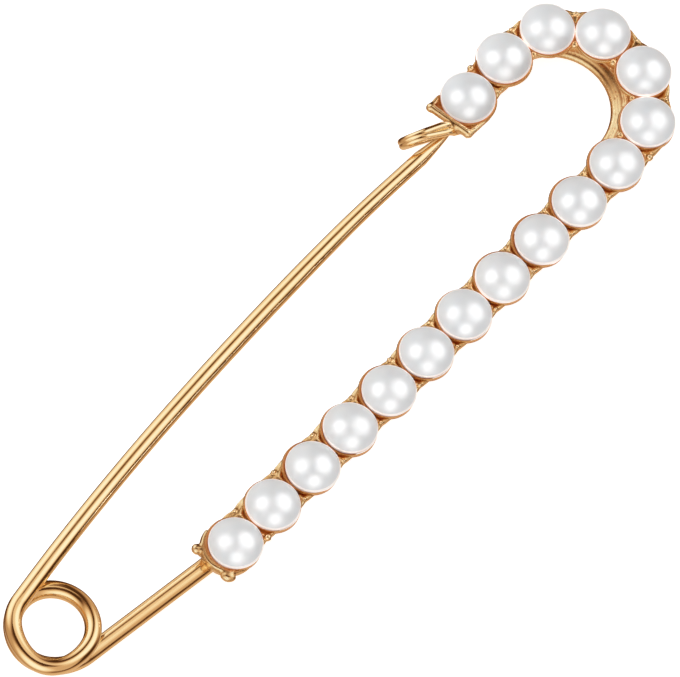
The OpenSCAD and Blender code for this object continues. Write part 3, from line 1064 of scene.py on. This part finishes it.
def row_tree():
    """One piece set on each of the row's places, turned along the row, with a small
    tilt and a tone of its own."""
    tree, given, out = new_tree(
        "Geometry", "set along the row",
        [("Geometry", "Geometry"), ("Piece", "Object"), ("Tilt", "Float"), ("Seed", "Int"),
         ("Finish", "Material")], [("Geometry", "Geometry")])
    piece = node(tree, "GeometryNodeObjectInfo", Object=given.outputs["Piece"])
    heading = node(tree, "GeometryNodeInputNamedAttribute", Name="heading")
    tilts = []
    for number in range(2):
        seed = math_node(tree, "ADD", given.outputs["Seed"], number * SEED_STEP)
        chance = node(tree, "FunctionNodeRandomValue", Seed=seed)
        chance.inputs[2].default_value = -1.0
        chance.inputs[3].default_value = 1.0
        tilts.append(math_node(tree, "MULTIPLY", chance.outputs[1], given.outputs["Tilt"]))
    turn = node(tree, "ShaderNodeCombineXYZ", X=tilts[0], Y=tilts[1], Z=heading.outputs[0])
    put = node(tree, "GeometryNodeInstanceOnPoints", Points=given.outputs["Geometry"],
               Instance=piece.outputs["Geometry"], Rotation=turn.outputs[0])
    tone = node(tree, "FunctionNodeRandomValue", Seed=TONE_SEED)
    toned = node(tree, "GeometryNodeStoreNamedAttribute", domain="INSTANCE", Name="pearl_tone",
                 Geometry=put.outputs["Instances"], Value=tone.outputs[1])
    whole = node(tree, "GeometryNodeRealizeInstances", Geometry=toned.outputs["Geometry"])
    finish = node(tree, "GeometryNodeSetMaterial", Geometry=whole.outputs["Geometry"],
                  Material=given.outputs["Finish"])
    tree.links.new(finish.outputs["Geometry"], out.inputs["Geometry"])
    return tree


ROW_TREE = row_tree()


def set_along_row(name, piece, tilt, seed, material):
    places = [on_row(i * PITCH) for i in range(PEARLS)]
    carrier = made_mesh(name + " places", [placed(x, y, 0) for x, y, _ in places], [])
    keep_values(carrier, "heading", [math.radians(h) for _, _, h in places])
    made = grown(carrier, ROW_TREE, name, Piece=piece, Tilt=math.radians(tilt), Seed=seed,
                 Finish=material)
    bpy.data.objects.remove(piece)
    return made


def cup_rims():
    """The thin rim of each cup, a little thicker on the pin's side. Its crest is narrow,
    and its outer wall slopes down to the webs."""
    wall = RIM_R - RIM_IN
    # The third number of each ring is how much metal is taken to be around it: the high values
    # inside the crest, beside the pearl, give painted shade there.
    profile = [(0.0, 2.3, 0.95), (0.0, 2.66, 0.95), (0.12, 2.7, 0.86), (0.38, 2.72, 0.74),
               (0.66, 2.7, 0.6), (0.88, 2.62, 0.46), (1.0, 2.5, 0.45), (0.9, 2.4, 0.6),
               (0.6, 2.3, 0.7), (0.2, 2.2, 0.8)]
    rings = [(RIM_IN + wall * out, z, RIM_SHIFT * out, around) for out, z, around in profile]
    ring = turned_piece("cup rim", list(reversed(rings)), CAST_GOLD, False)
    made = set_along_row("cup_rims", ring, 0.0, 1, CAST_GOLD)
    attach(made, "brooch")


def pearls():
    """Half-round pearls: a short straight foot and a dome that runs into it softly."""
    dome_r = (PEARL_R ** 2 + PEARL_DOME ** 2) / (2 * PEARL_DOME)
    centre = SETTING_H + PEARL_DOME - dome_r
    edge = math.degrees(math.asin(PEARL_R / dome_r))
    rings = [(PEARL_R - 0.2, SEAT_Z + 0.02), (PEARL_R - 0.06, SEAT_Z + 0.06),
             (PEARL_R - 0.05, SETTING_H - 0.12), (PEARL_R - 0.02, SETTING_H - 0.06)]
    rings += [(dome_r * sin(a), centre + dome_r * cos(a)) for a in np.linspace(edge, 0, 25)[:-1]]
    rings.append((0.02, centre + dome_r))
    rings = [(radius, height, 0.0, 0.5) for radius, height in rings]
    pearl = turned_piece("pearl", rings, NACRE, True)
    made = set_along_row("pearls", pearl, 1.5, 4, NACRE)
    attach(made, "brooch")
    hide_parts(*[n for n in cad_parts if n.startswith("pearl_")])
    return made


cup_rims()
ROW_OF_PEARLS = pearls()


# Floor, light and camera

FLOOR_HALF, FLOOR_Z = 3.0, -0.00002


def pale_floor():
    """A plain pale floor that the metal doesn't mirror."""
    made, tree, shader = new_material("pale floor", 0.0, 0.9)
    set_inputs(shader, ("Base Color", (0.9, 0.9, 0.9, 1)), ("Specular IOR Level", 0.0),
               ("Emission Color", (1, 1, 1, 1)), ("Emission Strength", 0.8))
    clear = node(tree, "ShaderNodeBsdfTransparent")
    path = node(tree, "ShaderNodeLightPath")
    mix = node(tree, "ShaderNodeMixShader", Fac=path.outputs["Is Glossy Ray"])
    tree.links.new(shader.outputs[0], mix.inputs[1])
    tree.links.new(clear.outputs[0], mix.inputs[2])
    tree.links.new(mix.outputs[0], tree.nodes["Material Output"].inputs["Surface"])
    corners = [(x * FLOOR_HALF, y * FLOOR_HALF, FLOOR_Z)
               for x, y in ((-1, -1), (1, -1), (1, 1), (-1, 1))]
    floor = made_mesh("floor", corners, [(0, 1, 2, 3)], made)


# Direction towards the camera, and the picture's right and down, in the part's frame
TO_CAMERA = Vector((-0.3732, -0.2007, 0.9058))
PICTURE_RIGHT = Vector((0.6586, -0.7449, 0.1063))
PICTURE_DOWN = Vector((-0.6534, -0.6362, -0.4101))
PIXELS_PER_MM = 13.635
PICTURE_W, PICTURE_H = 680, 677
FIRST_PEARL_PIXEL = (235.3, 542.9)
CAMERA_AWAY = 2.3
SENSOR_W = 36.0


def camera():
    """A long lens from far away, so that the picture has next to no perspective."""
    right = (PICTURE_W / 2 - FIRST_PEARL_PIXEL[0]) / PIXELS_PER_MM
    down = (PICTURE_H / 2 - FIRST_PEARL_PIXEL[1]) / PIXELS_PER_MM
    target = placed(0, 0, SETTING_H) + (PICTURE_RIGHT * right + PICTURE_DOWN * down) * MM
    data = bpy.data.cameras.new("camera")
    data.sensor_width = SENSOR_W
    data.lens = SENSOR_W * CAMERA_AWAY / (PICTURE_W / PIXELS_PER_MM * MM)
    data.clip_start, data.clip_end = 0.1, 100.0
    made = in_scene("camera", data)
    back = TO_CAMERA.normalized()
    up = -(PICTURE_DOWN - back * PICTURE_DOWN.dot(back)).normalized()
    turn = Matrix((up.cross(back), up, back)).transposed().to_4x4()
    made.matrix_world = Matrix.Translation(target + back * CAMERA_AWAY) @ turn
    bpy.context.scene.camera = made


# What shines on the metal: the way to each card's middle, the cosines where its light
# starts and where it is full, and how strong it is
CARDS = (((0.09, 0.9, 0.42), 0.7, 0.97, 1.0), ((0.62, -0.35, 0.7), 0.79, 0.98, 1.0),
         ((-0.91, -0.22, 0.34), 0.6, 1.0, 1.0), ((0.21, 0.12, 0.97), 0.965, 0.995, 0.6),
         ((0.34, 0.9, -0.27), 0.96, 1.0, 0.7), ((-0.21, -0.82, 0.53), 0.8, 0.88, 0.4),
         ((-0.82, 0.57, 0.03), 0.5, 0.96, 0.3), ((-0.09, -0.35, -0.93), 0.4, 0.87, 0.45),
         ((0.97, -0.14, 0.08), 0.72, 0.98, 0.34))
# The shine's colour from the gaps between the cards to their full light
SHINE = ((0.0, (0.07, 0.03, 0.01)), (0.12, (0.3, 0.16, 0.09)), (0.25, (0.5, 0.33, 0.2)),
         (0.5, (0.79, 0.6, 0.43)), (0.8, (0.97, 0.93, 0.82)), (1.0, (1.04, 1.18, 1.28)))


def studio():
    """Soft light, stronger from the needle's side. The metal mirrors three big soft cards
    and some smaller ones, with dark brown gaps between them."""
    world = bpy.data.worlds.new("studio")
    bpy.context.scene.world = world
    world.use_nodes = True
    tree = world.node_tree
    way = node(tree, "ShaderNodeTexCoord")
    split = node(tree, "ShaderNodeSeparateXYZ", Vector=way.outputs["Generated"])
    dark = None
    for middle, start, full, strength in CARDS:
        facing = node(tree, "ShaderNodeVectorMath", operation="DOT_PRODUCT",
                      Vector=way.outputs["Generated"])
        facing.inputs[1].default_value = Vector(middle).normalized()
        left = spread(tree, facing.outputs["Value"], start, full, 1.0, 1.0 - strength)
        dark = left if dark is None else math_node(tree, "MULTIPLY", dark, left)
    light = math_node(tree, "SUBTRACT", 1.0, dark)
    seen = SHINE[0][1]
    for (low, _), (high, shine) in zip(SHINE, SHINE[1:]):
        share = node(tree, "ShaderNodeMapRange", From_Min=low, From_Max=high, Value=light)
        seen = blended(tree, share.outputs[0], seen, shine)
    path = node(tree, "ShaderNodeLightPath")
    side = spread(tree, split.outputs["Y"], -1.0, 1.0)
    soft = blended(tree, side, (0.34, 0.345, 0.35), (0.72, 0.725, 0.73))
    colour = blended(tree, path.outputs["Is Glossy Ray"], soft, seen)
    tree.links.new(colour, tree.nodes["Background"].inputs["Color"])


# The lights: way, power in watts, and size in metres
LIGHT_AWAY = 0.5
SOFT_BOXES = {"left box": ((-0.3174, 0.5386, 0.781), 0.24, 0.16),
              "right box": ((0.5508, -0.0367, 0.8333), 0.2, 0.16),
              "front box": ((-0.5388, -0.6154, 0.5746), 0.14, 0.16)}
LUSTRE_BOXES = {"left lustre": ((-0.42, 0.51, 0.74), 5.6, 0.46),
                "right lustre": ((0.52, -0.38, 0.74), 9.5, 0.62),
                "front lustre": ((-0.55, -0.67, 0.47), 5.4, 0.42)}


def soft_box(name, way, power, size, lit=None):
    """A round soft light that looks at the row's middle. With a collection it only puts a
    broad shine on that, and otherwise it doesn't show in any shine."""
    data = bpy.data.lights.new(name, "AREA")
    data.shape = "DISK"
    data.size = size
    data.energy = power
    made = in_scene(name, data)
    away = Vector(way).normalized() * LIGHT_AWAY
    made.location = away
    made.rotation_mode = "QUATERNION"
    made.rotation_quaternion = away.to_track_quat("Z", "Y")
    made.visible_camera = False
    made.visible_glossy = lit is not None
    made.visible_diffuse = lit is None
    made.light_linking.receiver_collection = lit


pale_floor()
camera()
studio()
for box_name, box in SOFT_BOXES.items():
    soft_box(box_name, *box)
lit_pearls = bpy.data.collections.new("lit pearls")
lit_pearls.objects.link(ROW_OF_PEARLS)
for box_name, box in LUSTRE_BOXES.items():
    soft_box(box_name, *box, lit_pearls)
bpy.context.scene.view_settings.view_transform = "Standard"
